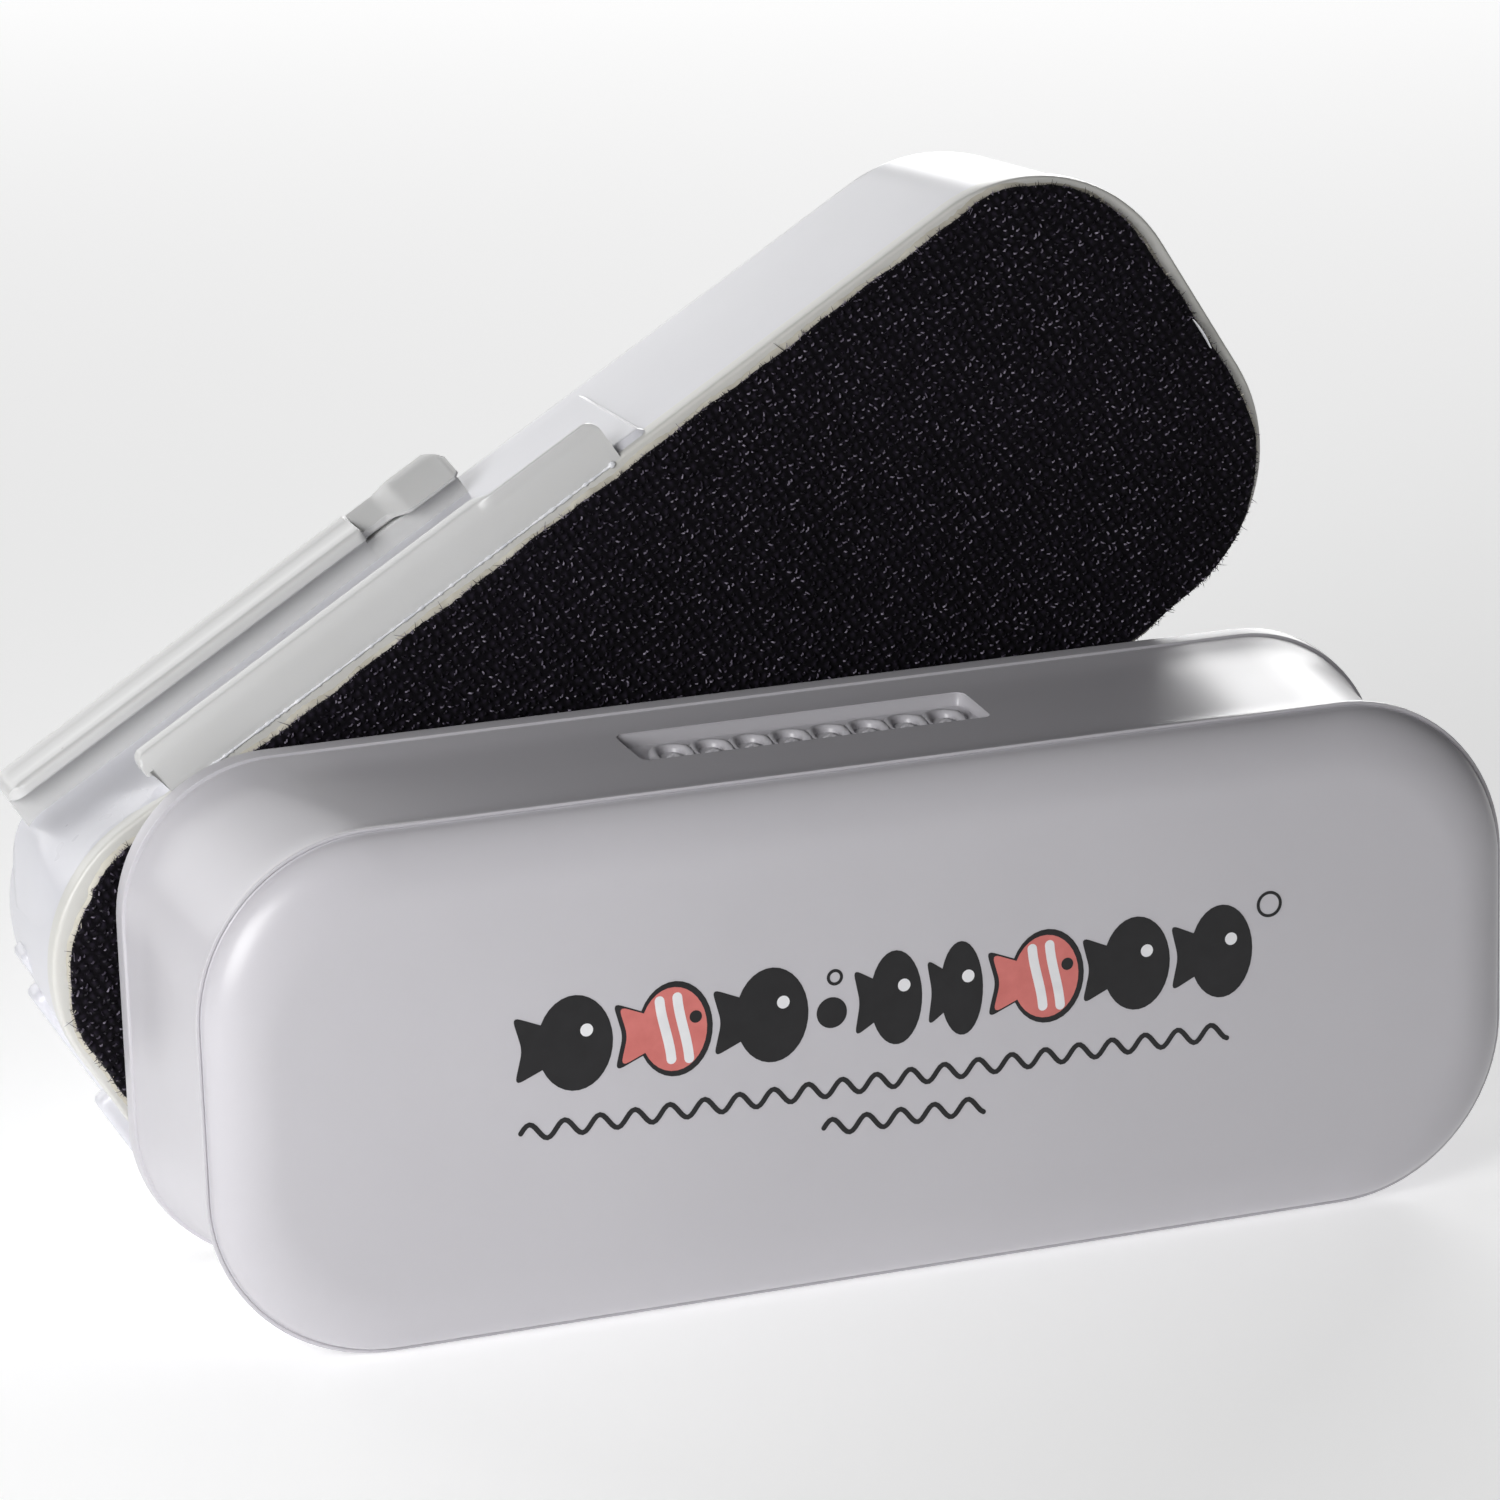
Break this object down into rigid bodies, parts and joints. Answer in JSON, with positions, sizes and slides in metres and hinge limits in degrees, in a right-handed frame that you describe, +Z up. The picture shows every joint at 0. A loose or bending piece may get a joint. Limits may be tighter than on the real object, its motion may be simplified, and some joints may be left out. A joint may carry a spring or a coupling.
{
  "type": "magnetic glass cleaner",
  "caption": "Floating magnetic aquarium glass cleaner: a felt-backed outer handle half and a buoyant inner half with scrub pad and blade rails, clinging together at the left magnets.",
  "frame": {"origin": "bottom centre of the whole object as it stands, with the outer half upright on its long edge", "axes": "+X along the outer half to the right as seen from its printed face, +Y from the printed face towards the inner half, +Z up"},
  "size_m": [0.1358, 0.063, 0.0973],
  "materials": {
    "outer_shell": "satin moulded plastic, light warm grey-white",
    "inner_shell": "satin moulded plastic, near white",
    "holder": "satin moulded plastic, greyish ivory",
    "tray": "plain moulded plastic",
    "ferrite": "dull sintered ferrite",
    "keeper": "zinc-plated mild steel",
    "bonding_film": "translucent pressure-sensitive film",
    "felt": "dense pressed felt",
    "scrub": "black woven hook fabric"
  },
  "bodies": {
    "outer_half": {"outer_front_cover": "outer_shell", "outer_case": "outer_shell", "outer_magnet_tray": "tray", "outer_magnet_left": "ferrite", "outer_magnet_right": "ferrite", "outer_keeper_plate": "keeper", "felt_bonding_film": "bonding_film", "felt_pad": "felt"},
    "magnet_pivot": {"inner_magnet_left": "ferrite"},
    "inner_half": {"inner_base_plate": "inner_shell", "inner_case": "inner_shell", "inner_magnet_tray": "tray", "inner_magnet_right": "ferrite", "inner_keeper_plate": "keeper", "scrub_bonding_film": "bonding_film", "scrub_pad": "scrub", "holder_base": "inner_shell", "near_rail": "holder", "far_rail": "holder", "end_rail_near": "holder", "end_rail_far": "holder", "end_stop": "holder"},
    "latch": {"latch_finger": "holder"}
  },
  "joints": [
    {"name": "pull_apart", "type": "slide", "parent": "outer_half", "child": "magnet_pivot", "axis": [0, 1, 0], "range_m": [0, 0.06], "stiffness_N_per_m": 40, "springref_m": -0.12},
    {"name": "swivel", "type": "hinge", "parent": "magnet_pivot", "child": "inner_half", "pos_m": [-0.04315, 0.0041, 0.0225], "axis": [0, -1, 0], "range_deg": [-31.3, 58.7]},
    {"name": "latch_flex", "type": "hinge", "parent": "inner_half", "child": "latch", "pos_m": [-0.03049, 0.0226, 0.06501], "axis": [0, -1, 0], "range_deg": [0, 8], "stiffness_Nm_per_rad": 0.4}
  ]
}
